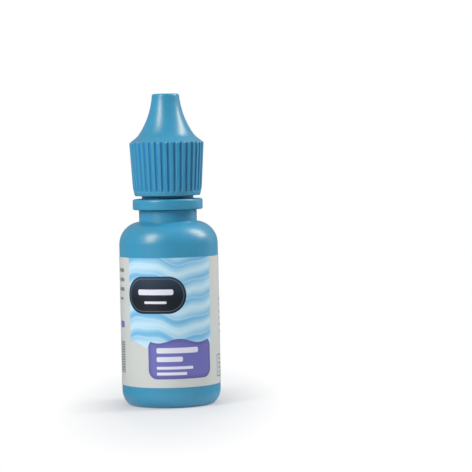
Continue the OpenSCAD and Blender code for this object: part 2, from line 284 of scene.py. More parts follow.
# %% A ridge on a helix
def thread(name, foot_r, crest_r, start_turns, start_z, turns):
    """A ridge from its foot to its crest, with both ends run out."""
    deselect()
    bpy.ops.mesh.primitive_plane_add(size=1, location=CENTRE, enter_editmode=True)
    bpy.ops.transform.rotate(value=math.radians(90), orient_axis="X", center_override=CENTRE)
    bpy.ops.transform.resize(value=(crest_r - foot_r, 1, thread_foot_w), center_override=CENTRE)
    bpy.ops.transform.translate(value=((foot_r + crest_r) / 2, 0, start_z))
    bpy.ops.mesh.delete(type="ONLY_FACE")
    bpy.ops.object.mode_set(mode="OBJECT")
    ridge = bpy.context.object
    crest = [abs(point.co.x - crest_r) < MERGE for point in ridge.data.vertices]
    narrow(ridge, crest, (1, 1, thread_crest_w / thread_foot_w), (0, 0, start_z))
    screw = ridge.modifiers.new("helix", "SCREW")
    screw.angle = math.tau * turns
    screw.screw_offset = thread_lead * turns
    screw.steps = screw.render_steps = round(SECTIONS_PER_TURN * turns)
    bpy.ops.object.modifier_apply(modifier=screw.name)
    sections = len(ridge.data.vertices) // len(crest)
    for i in range(RUN_OUT):
        radius = foot_r + (crest_r - foot_r) * max(i, 0.5) / RUN_OUT
        ends = [bool(c) and min(s, sections - 1 - s) == i for s in range(sections) for c in crest]
        narrow(ridge, ends, (radius / crest_r, radius / crest_r, 1), CENTRE)
    choose(ridge, [False] * len(ridge.data.vertices))
    bpy.ops.mesh.select_all(action="SELECT")
    turn(360 * start_turns)
    bpy.ops.mesh.fill_holes(sides=4)
    return close(name)


def choose(piece, chosen):
    """Opens edit mode on a piece with just the chosen vertices selected."""
    deselect()
    piece.select_set(True)
    bpy.context.view_layer.objects.active = piece
    for group in (piece.data.edges, piece.data.polygons):
        group.foreach_set("select", [False] * len(group))
    piece.data.vertices.foreach_set("select", chosen)
    bpy.ops.object.mode_set(mode="EDIT")
    bpy.ops.mesh.select_mode(type="VERT")


def narrow(piece, chosen, factors, centre):
    """Scales the chosen vertices about a point."""
    choose(piece, chosen)
    bpy.ops.transform.resize(value=factors, center_override=centre)
    bpy.ops.object.mode_set(mode="OBJECT")


def unite(piece, other):
    """Makes another closed shape one with a piece."""
    deselect()
    piece.select_set(True)
    bpy.context.view_layer.objects.active = piece
    union = piece.modifiers.new("union", "BOOLEAN")
    union.operation = "UNION"
    union.object = other
    bpy.ops.object.modifier_apply(modifier=union.name)
    bpy.data.objects.remove(other)
    print(f"{piece.name} with its thread: {len(piece.data.polygons)} faces")


neck_thread = thread("neck_thread", neck_r - thread_bite, neck_crest_r, 0, thread_z, 2)
unite(bottle_shell, neck_thread)

# %% [markdown]
# ## The ring under the cap
#
# The ring is a smooth band with soft edges. It hangs on the collar by a lip that lies under the
# neck's bead, so it stays behind when the cap comes off. Its outline is closed, and starts in the middle
# of its lower face.

# %% The ring
ring_lip_r = 5.95 * MM
ring_bore_r = 6.63 * MM
ring_lip_top = ring_z + 1.8 * MM
ring_outline = rounded([
    ((ring_lip_r + ring_r) / 2, ring_z, 0),
    (ring_r, ring_z, 0.4 * MM),
    (ring_r, ring_top, 0.5 * MM),
    (ring_bore_r, ring_top, 0.15 * MM),
    (ring_bore_r, ring_lip_top, 0.06 * MM),
    (ring_lip_r, ring_lip_top, 0.1 * MM),
    (ring_lip_r, ring_z, 0.1 * MM),
    ((ring_lip_r + ring_r) / 2, ring_z, 0),
])
ring_moulding = lathe("ring_moulding", ring_outline[:-1], BODY_STEPS, closed=True)

# %% [markdown]
# ## The dropper tip
#
# The tip is a soft milky plug that is pressed into the neck, a flange that stops it at the rim, and a
# nozzle with hollow sides. The drop's way through it is a wide hollow, a funnel, a channel, a hole finer
# than a pin that meters the drop, and a small cup in which the drop forms. All of that is one closed
# outline. The nozzle's side is an arc through its foot and its top, whose centre lies outside, and the arc
# leaves some room at both ends for a rounding.

# %% An arc that passes through two points and curves inwards
def hollow_centre(foot, top, radius):
    """The centre of the arc of that radius from foot to top, on the outer side."""
    half = (Vector(top) - Vector(foot)) / 2
    bow = math.sqrt(radius**2 - half.length_squared) / half.length
    return Vector(foot) + half + Vector((half.y, -half.x)) * bow


def hollow_arc(centre, radius, low, high, steps):
    """Points of that arc between two heights, from the lower to the higher."""
    angles = [180 - math.degrees(math.asin((z - centre[1]) / radius)) for z in (low, high)]
    return arc(centre, radius, *angles, steps)


# %% The dropper tip
plug_r = 4.4 * MM
plug_bore_r = 3.3 * MM
flange_top = neck_top + 1 * MM
nozzle_foot_r = 3.6 * MM
nozzle_top_r = 1.75 * MM
channel_r = 0.9 * MM
metering_r = 0.3 * MM
exit_r = 0.85 * MM
exit_z = nozzle_top - 1.2 * MM
metering_z = exit_z - 1.2 * MM
funnel_z = neck_top - 1.5 * MM
funnel_top = funnel_z + 3 * MM
seal_press = 0.07 * MM
seal_half_h = 0.5 * MM
plug_h = neck_top - plug_z

nozzle_curve = 32 * MM
nozzle_foot_room, nozzle_top_room = 0.6 * MM, 0.7 * MM
nozzle_low, nozzle_high = flange_top + nozzle_foot_room, nozzle_top - nozzle_top_room
nozzle_centre = hollow_centre((nozzle_foot_r, flange_top), (nozzle_top_r, nozzle_top), nozzle_curve)
plug_side = [(plug_r, plug_z, 0.4 * MM)]
for seal_share in (0.3, 0.7):
    seal_z = plug_z + seal_share * plug_h
    plug_side += [
        (plug_r, seal_z - seal_half_h, 0),
        (neck_bore_r + seal_press, seal_z, 0.3 * MM),
        (plug_r, seal_z + seal_half_h, 0),
    ]
tip_outline = rounded(
    [((plug_bore_r + plug_r) / 2, plug_z, 0)]
    + plug_side
    + [
        (plug_r, neck_top, 0),
        (tip_flange_r, neck_top, 0.12 * MM),
        (tip_flange_r, flange_top, 0.25 * MM),
        (nozzle_foot_r, flange_top, 0.3 * MM),
    ]
    + hollow_arc(nozzle_centre, nozzle_curve, nozzle_low, nozzle_high, 16)
    + [
        (nozzle_top_r, nozzle_top, 0.35 * MM),
        (exit_r, nozzle_top, 0.12 * MM),
        (exit_r, exit_z, 0.1 * MM),
        (metering_r, exit_z, 0),
        (metering_r, metering_z, 0),
        (channel_r, metering_z, 0),
        (channel_r, funnel_top, 0.5 * MM),
        (plug_bore_r, funnel_z, 0.5 * MM),
        (plug_bore_r, plug_z, 0.15 * MM),
        ((plug_bore_r + plug_r) / 2, plug_z, 0),
    ]
)
TIP_STEPS = 128
tip_moulding = lathe("tip_moulding", tip_outline[:-1], TIP_STEPS, closed=True)

# %% [markdown]
# ## The cap
#
# The cap's grooves repeat 36 times, so one wedge with one groove is modelled and then copied round the
# axis. Across, a groove is a circle with its edges broken: a smaller arc eases it out to the surface.
# Along, it keeps to the line of the skirt, so it gets shallow where the foot tapers in under that line, and
# ends in a round. The wedge's columns lie closer together where the groove's wall is steep. Cutting the
# grooves with booleans would leave hard edges that no light catches.

# %% Sizes of the cap
cap_foot_r = 8.02 * MM
cap_band_r = 8.47 * MM
band_z = cap_z + 2.05 * MM
flare_z = cap_z + 12.95 * MM
nose_z = flare_z + 1.6 * MM
nose_foot_r = 7.06 * MM
nose_top_r = 3.32 * MM
nose_curve = 19.8 * MM
nose_foot_room, nose_top_room = 1 * MM, 0.8 * MM
skirt_slope = (cap_flare_r - cap_band_r) / (flare_z - band_z)
taper_slope = (cap_band_r - cap_foot_r) / (band_z - cap_z)
cap_wall = 1.25 * MM
cap_roof_z = cap_top - 1.6 * MM
boss_r = 1.6 * MM
boss_z = nozzle_top + 0.3 * MM
pin_r = exit_r - 0.08 * MM
pin_z = exit_z + 0.2 * MM
gate_r = 0.6 * MM
gate_h = 0.12 * MM
nose_centre = hollow_centre((nose_foot_r, nose_z), (nose_top_r, cap_top), nose_curve)


def skirt_r(height, slope=skirt_slope):
    """Radius on the line of the flaring skirt, or with the taper's slope on the line of the foot."""
    return cap_band_r + slope * (height - band_z)


# %% The groove across its width
groove_r = 0.38 * MM
groove_edge = 0.17 * MM
groove_reach = math.sqrt(groove_r**2 + 2 * groove_r * groove_edge)
groove_meet = groove_reach * groove_r / (groove_r + groove_edge)


def groove_depth(offset):
    """Depth of the groove at a distance from its middle line."""
    if offset >= groove_reach:
        return 0
    if offset > groove_meet:
        return groove_edge - math.sqrt(groove_edge**2 - (groove_reach - offset) ** 2)
    return math.sqrt(groove_r**2 - offset**2)


print(f"groove {2 * groove_reach / MM:.2f} mm wide and {groove_depth(0) / MM:.2f} mm deep")

# %% The outline of the cap, from the middle of its top to the tip of its sealing pin
groove_start = cap_z + 1.22 * MM
end_rings = [groove_start - groove_reach * share for share in (0.85, 0.74, 0.63, 0.5, 0.36, 0.2, 0)]
taper_rings = end_rings + [(groove_start + band_z) / 2]
skirt_rings = [band_z + (flare_z - band_z) * share for share in (0.2, 0.45, 0.7, 0.96)]
bevel_slope = (nose_foot_r - cap_flare_r) / (nose_z - flare_z)
bevel_rings = [flare_z + rise * MM for rise in (0.11, 0.16, 0.22, 0.29, 0.37)]
cap_inner_curve = nose_curve + cap_wall
hollow_z = nose_centre[1] - math.sqrt(cap_inner_curve**2 - (nose_centre[0] - cap_bore_r) ** 2)
mouth_edge = 0.35 * MM

cap_corners = (
    [(0, cap_top - gate_h, 0), (gate_r, cap_top - gate_h, 0.1 * MM), (1.3 * gate_r, cap_top, 0.15 * MM)]
    + [(nose_top_r, cap_top, 0.55 * MM)]
    + hollow_arc(nose_centre, nose_curve, nose_z + nose_foot_room, cap_top - nose_top_room, 16)[::-1]
    + [(nose_foot_r, nose_z, 4 * MM)]
    + [(cap_flare_r + bevel_slope * (z - flare_z), z, 0) for z in bevel_rings[::-1]]
    + [(cap_flare_r, flare_z, 0.16 * MM)]
    + [(skirt_r(z), z, 0) for z in skirt_rings[::-1]]
    + [(cap_band_r, band_z, 0.5 * MM)]
    + [(skirt_r(z, taper_slope), z, 0) for z in taper_rings[::-1]]
    + [(cap_foot_r, cap_z, 0.24 * MM)]
    + [(cap_bore_r + mouth_edge, cap_z, 0.1 * MM), (cap_bore_r, cap_z + mouth_edge, 0.2 * MM)]
    + hollow_arc(nose_centre, cap_inner_curve, hollow_z, cap_roof_z - 0.4 * MM, 10)
    + [(nose_centre[0] - cap_inner_curve, cap_roof_z, 0.3 * MM)]
    + [(boss_r, cap_roof_z, 0.2 * MM), (boss_r, boss_z, 0.15 * MM)]
    + [(pin_r, boss_z, 0.1 * MM), (pin_r, pin_z, 0.12 * MM), (0, pin_z, 0)]
)
cap_outline = rounded(cap_corners)
print(len(cap_outline), "points on the cap's outline")

# %% One wedge of the cap, centred on its groove
RIBS = 36
GROOVE_PHASE = -85
half_pitch = math.pi * cap_band_r / RIBS
column_shares = (0.3, 0.52, 0.67, 0.77, 0.85, 0.93, 1)
half_columns = [groove_reach * share for share in column_shares] + [half_pitch]
columns = [-offset for offset in half_columns[::-1]] + [0] + half_columns

draw(cap_outline)
turn(math.degrees(columns[0] / cap_band_r))
for here, there in zip(columns, columns[1:]):
    spin(math.degrees((there - here) / cap_band_r), 1)
cap_moulding = close("cap_moulding")


# %% Press the groove into the wedge
def polar(piece):
    """Radius, angle in radians and height of each vertex of a piece."""
    places = np.empty(3 * len(piece.data.vertices))
    piece.data.vertices.foreach_get("co", places)
    x, y, z = places.reshape(-1, 3).T
    return np.hypot(x, y), np.arctan2(y, x), z


EASE = 0.05 * MM


def eased(depth):
    """A depth that fades in softly where the groove's bottom leaves the surface."""
    return (depth + math.hypot(depth, EASE)) / 2


radius, angle, height = polar(cap_moulding)
grooved = [point for point in cap_outline if end_rings[0] - MERGE < point[1] < bevel_rings[-1] + MERGE]
grooved = [point for point in grooved if point[0] > cap_bore_r + cap_wall / 2]
for ring in grooved:
    past_end = max(0, groove_start - ring[1])
    for offset in columns[1:-1]:
        bottom = skirt_r(ring[1]) - groove_depth(math.hypot(offset, past_end))
        if bottom < ring[0] + EASE:
            factor = 1 - eased(ring[0] - bottom) / ring[0]
            here = (abs(radius - ring[0]) < MERGE) & (abs(height - ring[1]) < MERGE)
            here &= abs(angle - offset / cap_band_r) < MERGE / cap_band_r
            narrow(cap_moulding, here, (factor, factor, 1), CENTRE)
print(len(grooved), "rings of the wedge carry the groove")

# %% Copy the wedge round the axis and add the thread
choose(cap_moulding, [True] * len(cap_moulding.data.vertices))
bpy.ops.mesh.select_all(action="SELECT")
turn(GROOVE_PHASE)
copies = RIBS - 1
bpy.ops.mesh.spin(steps=copies, angle=math.tau * copies / RIBS, center=CENTRE, axis=AXIS, dupli=True)
cap_moulding = close("cap_moulding")
cap_thread_z = thread_z + thread_lead * cap_lag - cap_drop
cap_thread = thread("cap_thread", cap_bore_r + thread_bite, cap_crest_r, cap_lag, cap_thread_z, 1.5)
unite(cap_moulding, cap_thread)

# %% [markdown]
# ## The label
#
# The label is a thin printed film that goes nearly all the way round and leaves a narrow seam at the back.
# Its corners are round, or they would lift. It starts as a tall thin rectangle at the seam, which is spun on
# column by column. The columns that cross a round corner are scaled in height as they are made.

# %% The label's sheet
label_thickness = 0.06 * MM
label_seam = 1.6 * MM
label_corner = 1.5 * MM
label_middle = (label_bottom + label_top) / 2
label_h = label_top - label_bottom
label_length = math.tau * label_r - label_seam
corner_turns = [ARC_STEP * i for i in range(7)]
corner_stations = [
    (label_corner * (1 - math.cos(a)), label_h - 2 * label_corner * (1 - math.sin(a))) for a in corner_turns
]
LABEL_COLUMNS = 200
plain_length = label_length - 2 * label_corner
stations = (
    corner_stations
    + [(label_corner + plain_length * i / LABEL_COLUMNS, label_h) for i in range(1, LABEL_COLUMNS)]
    + [(label_length - distance, tall) for distance, tall in corner_stations[::-1]]
)

inner, outer = label_r - label_thickness, label_r
low, high = (label_middle + side * stations[0][1] / 2 for side in (-1, 1))
draw([(inner, low), (outer, low), (outer, high), (inner, high)], closed=True)
turn(90 + math.degrees(label_seam / 2 / label_r))
for (before, tall), (after, taller) in zip(stations, stations[1:]):
    spin(math.degrees((after - before) / label_r), 1)
    bpy.ops.transform.resize(value=(1, 1, taller / tall), center_override=(0, 0, label_middle))
bpy.ops.mesh.select_all(action="SELECT")
bpy.ops.mesh.fill_holes(sides=4)
label_sheet = close("label_sheet")

# %% [markdown]
# ## Finishes as sums
#
# A finish is a small graph of nodes. Written out one node at a time it is long and hard to follow, so a
# signal, which is the output of a node, is wrapped in a class that knows plus, minus and times. The sum
# 1 - mask then adds its Math node by itself. A graph has one method that adds any node: its settings come
# first, because some of them change which sockets the node has, and then its inputs. The world has such a
# graph too, so what only a material has is kept in a class of its own.

# %% Signals and graphs
class Signal:
    """The output of a node, which can be used in a sum."""

    def __init__(self, graph, socket):
        self.graph, self.socket = graph, socket

    def math(self, operation, *values, clamp=False):
        """A Math node on some values."""
        settings = {"operation": operation, "use_clamp": clamp}
        return self.graph.add("ShaderNodeMath", settings, dict(enumerate(values)))

    def __add__(self, other):
        return self.math("ADD", self, other)

    def __sub__(self, other):
        return self.math("SUBTRACT", self, other)

    def __rsub__(self, other):
        return self.math("SUBTRACT", other, self)

    def __mul__(self, other):
        return self.math("MULTIPLY", self, other)

    def __neg__(self):
        return self.math("MULTIPLY", self, -1)

    def __abs__(self):
        return self.math("ABSOLUTE", self)

    __radd__, __rmul__ = __add__, __mul__

    def call(self, operation, *values):
        """A Math node by its name, with this signal as its first value."""
        return self.math(operation, self, *values)

    def clamped(self, factor, offset):
        """This times a factor plus an offset, kept between 0 and 1."""
        return self.math("MULTIPLY_ADD", self, factor, offset, clamp=True)

    def inside(self, blur):
        """1 where this distance is below zero and 0 where it is above, over a soft edge."""
        return self.clamped(-1 / blur, 0.5)


class Graph:
    """The nodes of a material or of the world."""

    def __init__(self, owner):
        owner.use_nodes = True
        self.tree = owner.node_tree

    def add(self, kind, settings=None, inputs=None, output=0):
        """Adds a node, sets it, feeds its sockets and returns one of its outputs as a signal."""
        node = self.tree.nodes.new(kind)
        for name, value in (settings or {}).items():
            setattr(node, name, value)
        named = {socket.identifier: socket for socket in node.inputs}
        for name, value in (inputs or {}).items():
            self.feed(named[name] if name in named else node.inputs[name], value)
        return Signal(self, node.outputs[output])

    def feed(self, socket, value):
        """Links a signal to a socket, or sets the socket's own value."""
        if isinstance(value, Signal):
            self.tree.links.new(value.socket, socket)
        else:
            socket.default_value = value

    def split(self, place):
        """The three parts of a place or a direction."""
        return [self.add("ShaderNodeSeparateXYZ", inputs={"Vector": place}, output=axis) for axis in "XYZ"]


class Finish(Graph):
    """One procedural material."""

    def __init__(self, name):
        self.material = bpy.data.materials.new(name)
        super().__init__(self.material)
        self.shader = self.tree.nodes["Principled BSDF"]
        self.place = self.add("ShaderNodeTexCoord", output="Object")
        self.x, self.y, self.z = self.split(self.place)

    def set(self, **values):
        """Sets or links the shader's own sockets; Base_Color stands for Base Color."""
        for name, value in values.items():
            self.feed(self.shader.inputs[name.replace("_", " ")], value)

    def mix(self, factor, first, second):
        """A colour between two others."""
        inputs = {"Factor_Float": factor, "A_Color": first, "B_Color": second}
        return self.add("ShaderNodeMix", {"data_type": "RGBA"}, inputs, output=2)

    def noise(self, size, detail=2, stretch=None):
        """Clouds of about one size, from 0 to 1 with most of it near a half, stretched by a scale."""
        place = self.place
        if stretch:
            place = self.add("ShaderNodeMapping", inputs={"Vector": place, "Scale": stretch})
        inputs = {"Vector": place, "Scale": 1 / size, "Detail": detail}
        return self.add("ShaderNodeTexNoise", inputs=inputs)

    def bump(self, height, depth):
        """A normal from a height between 0 and 1 that stands for a depth in metres."""
        return self.add("ShaderNodeBump", inputs={"Height": height, "Distance": depth, "Strength": 1})

    def give(self, piece):
        """Puts the finish on a piece in place of what it had."""
        piece.data.materials.clear()
        piece.data.materials.append(self.material)


def colour(red, green, blue):
    """A colour as a painting program writes it, from 0 to 255, turned into the light that Blender sums."""
    shares = [c / 255 for c in (red, green, blue)]
    return tuple(c / 12.92 if c < 0.04045 else ((c + 0.055) / 1.055) ** 2.4 for c in shares) + (1,)


print("middle grey as light:", [round(c, 3) for c in colour(128, 128, 128)])

# %% [markdown]
# ## Coloured polyethylene
#
# The body, the ring and the cap are polyethylene in one turquoise. It is never quite even: the pigment
# clouds a little over a centimetre, and the surface has the fine grain of its mould, which widens the
# highlights. They look nearly white on the dyed plastic, so the gloss has a warm tint. The body is blown
# and soft, with a slightly wavy skin and the faint line where its mould's halves met. The cap and the ring
# are injection moulded and crisper. Down in the cap's grooves the colour is painted a darker, bluer
# turquoise: painted shade, for the shade and the light bounced from wall to wall there. All of it has been
# handled: there are hair-thin scuff marks. The tops of the ribs at the cap's flared edge are painted pale
# in patches: partly wear, where they rub on everything, and partly painted highlight, for the glints that
# their rounded edge catches.

# %% The plastic
# The second colour is painted shade for the bottoms of the cap's grooves; the third is the pale of scuff
# marks and wear, and also painted highlight on the rib tops.
TURQUOISE, PAINTED_GROOVE_SHADE, PALE_WEAR_AND_GLINT = colour(52, 143, 181), colour(36, 128, 184), colour(150, 196, 212)
WARM = (1, 0.84, 0.55, 1)
PLASTIC_IOR = 1.51
PLASTIC_GLOSS = 0.62
CLOUD_SIZE, CLOUD_SPREAD, CLOUD_DULL = 9 * MM, 0.06, 0.06
GRAIN_SIZE, GRAIN_DEPTH, GRAIN_DULL = 0.3 * MM, 0.004, 0.08
WAVE_SIZE = 3.5 * MM
SCUFF_SIZE, SCUFF_STRETCH, SCUFF_LEVEL, SCUFF_BLUR = 0.1 * MM, (1, 0.12, 0.5), 0.69, 0.04
PATCH_SIZE, PATCH_LEVEL, PATCH_BLUR = 6 * MM, 0.55, 0.1
SCUFF_STRENGTH, SCUFF_DULL = 0.35, 0.15
PARTING_HALF, PARTING_BLUR, PARTING_DEPTH = 0.06 * MM, 0.1 * MM, 0.02


def plastic(name, dull, wave, parting=None, wear_and_glint=None, painted_shade=None):
    """Polyethylene by its dullness and the depth of its waves, with a mask of pale patches, partly wear and
    partly painted highlight, and a mask of painted shade.

    Depths are in millimetres, and parting is the angle of the line that the mould left."""
    finish = Finish(name)
    clouds = finish.noise(CLOUD_SIZE, detail=3)
    grain = finish.noise(GRAIN_SIZE, detail=3)
    darker, paler = (
        tuple(c * (1 + spread) for c in TURQUOISE[:3]) + (1,) for spread in (-CLOUD_SPREAD, CLOUD_SPREAD)
    )
    tone = finish.mix(clouds, darker, paler)
    # painted shade: the bottoms of the cap's grooves are mixed towards a darker, bluer turquoise
    if painted_shade:
        tone = finish.mix(painted_shade(finish), tone, PAINTED_GROOVE_SHADE)
    streaks = finish.noise(SCUFF_SIZE, detail=1, stretch=SCUFF_STRETCH)
    patches = finish.noise(PATCH_SIZE, detail=2)
    pale_marks = (SCUFF_LEVEL - streaks).inside(SCUFF_BLUR) * (PATCH_LEVEL - patches).inside(PATCH_BLUR)
    pale_marks = pale_marks * SCUFF_STRENGTH
    # on the cap, pale patches along the flared edge join the scuff marks: partly wear, partly painted
    # highlight for the glints that the rib tops catch
    if wear_and_glint:
        pale_marks = pale_marks.call("MAXIMUM", wear_and_glint(finish))
    height = grain * GRAIN_DEPTH + finish.noise(WAVE_SIZE, detail=1) * wave
    if parting is not None:
        off_line = abs(finish.x * math.sin(parting) - finish.y * math.cos(parting))
        height = height + (off_line - PARTING_HALF).inside(PARTING_BLUR) * PARTING_DEPTH
    finish.set(
        Base_Color=finish.mix(pale_marks, tone, PALE_WEAR_AND_GLINT),
        Roughness=dull + GRAIN_DULL * (grain - 0.5) + CLOUD_DULL * (clouds - 0.5) + SCUFF_DULL * pale_marks,
        Normal=finish.bump(height, MM),
        IOR=PLASTIC_IOR,
        Specular_IOR_Level=PLASTIC_GLOSS,
        Specular_Tint=WARM,
    )
    return finish


# %% Pale patches of the cap, partly painted highlight, and painted shade in its grooves
WEAR_GLINT_SIZE, WEAR_GLINT_LEVEL, WEAR_GLINT_SOFTNESS, WEAR_GLINT_STRENGTH = 1.6 * MM, 0.57, 0.12, 0.8
WEAR_GLINT_REACH, WEAR_GLINT_BLUR = 0.2 * MM, 0.25 * MM
HOLLOW_FROM, HOLLOW_TO, HOLLOW_BLUR = 0.22 * MM, 0.6 * MM, 0.2 * MM


def off_axis(finish):
    """Distance from the bottle's axis."""
    return (finish.x.call("POWER", 2) + finish.y.call("POWER", 2)).call("SQRT")


def flared_edge(finish):
    """Pale patches on the tops of the ribs at the cap's flared edge: partly wear, partly painted highlight.
    """
    beyond = (off_axis(finish) - cap_flare_r).call("POWER", 2) + (finish.z - flare_z).call("POWER", 2)
    wear_glint_patches = (WEAR_GLINT_LEVEL - finish.noise(WEAR_GLINT_SIZE)).inside(WEAR_GLINT_SOFTNESS)
    return (beyond.call("SQRT") - WEAR_GLINT_REACH).inside(WEAR_GLINT_BLUR) * wear_glint_patches * WEAR_GLINT_STRENGTH


def grooves(finish):
    """Painted shade at the bottoms of the cap's grooves, by their depth under the line of the skirt."""
    depth = (finish.z - band_z) * skirt_slope + cap_band_r - off_axis(finish)
    ends = (groove_start - finish.z).inside(HOLLOW_BLUR) * (finish.z - flare_z).inside(HOLLOW_BLUR)
    return (HOLLOW_FROM - depth).inside(HOLLOW_BLUR) * (depth - HOLLOW_TO).inside(HOLLOW_BLUR / 2) * ends


body_plastic = plastic("body_plastic", 0.35, 0.05, parting=math.radians(20))
cap_plastic = plastic("cap_plastic", 0.34, 0.01, wear_and_glint=flared_edge, painted_shade=grooves)
ring_plastic = plastic("ring_plastic", 0.34, 0.01)
print("the cap's plastic has", len(cap_plastic.tree.nodes), "nodes")

# %% [markdown]
# The dropper tip is the same plastic with no pigment, so light goes into it and comes out again nearby.
# That is subsurface scattering, and its reach is a fraction of a millimetre. The filling is water as far as
# the eye can tell.

# %% The tip and the filling
MILKY, MILKY_PALE = colour(226, 233, 235), colour(238, 242, 243)
WATER, WATER_PALE, WATER_IOR = colour(236, 247, 252), colour(244, 251, 254), 1.335
tip_plastic = Finish("tip_plastic")
tip_grain = tip_plastic.noise(GRAIN_SIZE, detail=3)
tip_plastic.set(
    Base_Color=tip_plastic.mix(tip_plastic.noise(4 * MM), MILKY, MILKY_PALE),
    Roughness=0.3 + GRAIN_DULL * tip_grain,
    Normal=tip_plastic.bump(tip_grain, GRAIN_DEPTH * MM),
    Subsurface_Weight=0.35,
    Subsurface_Radius=(1.0, 0.9, 0.8),
    Subsurface_Scale=0.6 * MM,
    IOR=PLASTIC_IOR,
)

solution = Finish("solution")
ripple = solution.noise(6 * MM)
tint = solution.mix(ripple, WATER, WATER_PALE)
solution.set(Base_Color=tint, Roughness=0.02 + 0.01 * ripple, Transmission_Weight=1.0, IOR=WATER_IOR)
plastics = (body_plastic, cap_plastic, ring_plastic, tip_plastic)
print("finishes so far:", [finish.material.name for finish in (*plastics, solution)])

# %% [markdown]
# ## The print
#
# The print is worked out from the place on the label: u runs round the bottle from the middle of the front,
# and v runs up from the label's lower edge, both in millimetres. A box with round corners is a distance
# that is negative inside, so its edge can be made as soft as ink on film. The design is a plain one: a sky
# blue field of waves, a navy capsule, a purple panel, and pale or grey bars where a label has its words. The
# sides and the back have rows of small marks, a block of stripes and empty boxes.

# %% Distances on the unrolled label
print_on = Finish("label_paper")
INK = 0.07
WORD_RATE, WORD_GAP, RAGGED = 0.42, 0.13, 0.35
u = print_on.x.call("ARCTAN2", -print_on.y) * (label_r / MM)
v = print_on.z * (1 / MM) - label_bottom / MM


def box_distance(centre, size, corner):
    """Distance to a box with round corners, in millimetres, negative inside it."""
    across = abs(u - centre[0]) - (size[0] / 2 - corner)
    along = abs(v - centre[1]) - (size[1] / 2 - corner)
    squares = [way.call("MAXIMUM", 0).call("POWER", 2) for way in (across, along)]
    beyond = (squares[0] + squares[1]).call("SQRT")
    return beyond + across.call("MAXIMUM", along).call("MINIMUM", 0) - corner


def block(centre, size):
    """A rectangle with square corners."""
    return (abs(u - centre[0]) - size[0] / 2).inside(INK) * (abs(v - centre[1]) - size[1] / 2).inside(INK)


def bar(centre, size):
    """A plain printed bar with ends slightly round."""
    return box_distance(centre, size, 0.3 * min(size)).inside(INK)


def frame_line(centre, size, width):
    """The outline of an empty box."""
    return (abs(box_distance(centre, size, 0.3)) - width / 2).inside(INK)


def wave(height, rate, phase=0):
    """A wave that runs round the label."""
    return height * (u * rate + phase).call("SINE")


def text_lines(centre, size, pitch, thickness, seed):
    """Ragged grey lines with gaps, as small print looks from a distance."""
    rows = (v - centre[1]) * (1 / pitch)
    row = rows.call("FLOOR")
    line = (abs(rows - row - 0.5) * pitch - thickness / 2).inside(INK)
    length = print_on.add("ShaderNodeTexWhiteNoise", {"noise_dimensions": "1D"}, {"W": row + seed})
    words = (u * WORD_RATE + length * 7).call("FRACT")
    ragged = (u - (centre[0] + size[0] / 2) + length * (RAGGED * size[0])).inside(INK)
    return line * ragged * block(centre, size) * (WORD_GAP - words).inside(INK)


def either(*masks):
    """Where any of the masks is set."""
    joined = masks[0]
    for mask in masks[1:]:
        joined = joined.call("MAXIMUM", mask)
    return joined


print(f"the print lies on a radius of {label_r / MM:.2f} mm and is {label_h / MM:.1f} mm tall")

# %% The sky-blue field and its waves
SKY_MIDDLE, SKY_WIDTH, SKY_FOOT = 0.4, 22.4, 10.2
SKY, SKY_PALE, SKY_DEEP = colour(141, 198, 227), colour(196, 226, 240), colour(96, 170, 218)
PAPER, PAPER_SHADE = colour(202, 205, 202), colour(196, 200, 197)

drift = print_on.noise(7 * MM, detail=1)
swell = v * 1.35 + wave(1.3, 0.36, 0.5) + wave(0.45, 0.83) + 1.6 * drift
crest = 0.5 + 0.5 * swell.call("SINE")
fine = 0.5 + 0.5 * (swell * 2.1 + u * 0.21).call("SINE")
water = print_on.mix(crest.call("POWER", 2) * 0.85, SKY, SKY_PALE)
water = print_on.mix((1 - crest).call("POWER", 5) * 0.7, water, SKY_DEEP)
water = print_on.mix(fine.call("POWER", 8) * 0.45, water, SKY_PALE)
shore = SKY_FOOT + wave(1.0, 0.5, 0.4)
sky_field = (abs(u - SKY_MIDDLE) - SKY_WIDTH / 2).inside(INK) * (shore - v).inside(INK)
design = print_on.mix(sky_field, print_on.mix(drift, PAPER, PAPER_SHADE), water)
print("the field of waves is", SKY_WIDTH, "mm wide")

# %% The capsule and the panel, with bars in place of words
NAVY, NAVY_SHEEN, SLATE = colour(13, 24, 36), colour(52, 74, 98), colour(110, 134, 156)
PURPLE, PURPLE_EDGE, PALE_INK = colour(108, 107, 180), colour(66, 62, 126), colour(226, 227, 238)
CAPSULE, CAPSULE_SIZE = (-3.2, 22.4), (15.4, 9.0)
RIM_INSET, RIM_HALF, RIM_STRENGTH = 0.6, 0.08, 0.6
PALE_STRENGTH, GREY_STRENGTH = 0.94, 0.85
PANEL, PANEL_SIZE, PANEL_CORNER = (3.0, 7.0), (16.4, 9.8), 2.2

capsule = box_distance(CAPSULE, CAPSULE_SIZE, CAPSULE_SIZE[1] / 2)
sheen = (v - (CAPSULE[1] - 1)) * (1 / CAPSULE_SIZE[1])
navy = print_on.mix(sheen.clamped(1, 0), NAVY, NAVY_SHEEN)
navy = print_on.mix((abs(capsule + RIM_INSET) - RIM_HALF).inside(INK) * RIM_STRENGTH, navy, SLATE)
design = print_on.mix(capsule.inside(INK), design, navy)

ripple_edge = v - (PANEL[1] + PANEL_SIZE[1] / 2 - 0.6) - wave(0.5, 0.62)
panel = box_distance(PANEL, PANEL_SIZE, PANEL_CORNER).call("MAXIMUM", ripple_edge)
purple = print_on.mix(panel.inside(PANEL_CORNER), PURPLE_EDGE, PURPLE)
design = print_on.mix(panel.inside(INK), design, purple)

pale_bars = either(
    bar((-3.2, 23.1), (9.0, 1.35)),
    bar((-3.2, 20.6), (5.6, 0.6)),
    bar((2.1, 9.0), (10.4, 1.3)),
    bar((0.1, 6.9), (6.4, 1.2)),
    bar((1.4, 4.8), (9.0, 0.7)),
    bar((0.6, 3.4), (7.4, 0.7)),
)
design = print_on.mix(pale_bars * PALE_STRENGTH, design, PALE_INK)
print("capsule", CAPSULE_SIZE, "mm, panel", PANEL_SIZE, "mm")

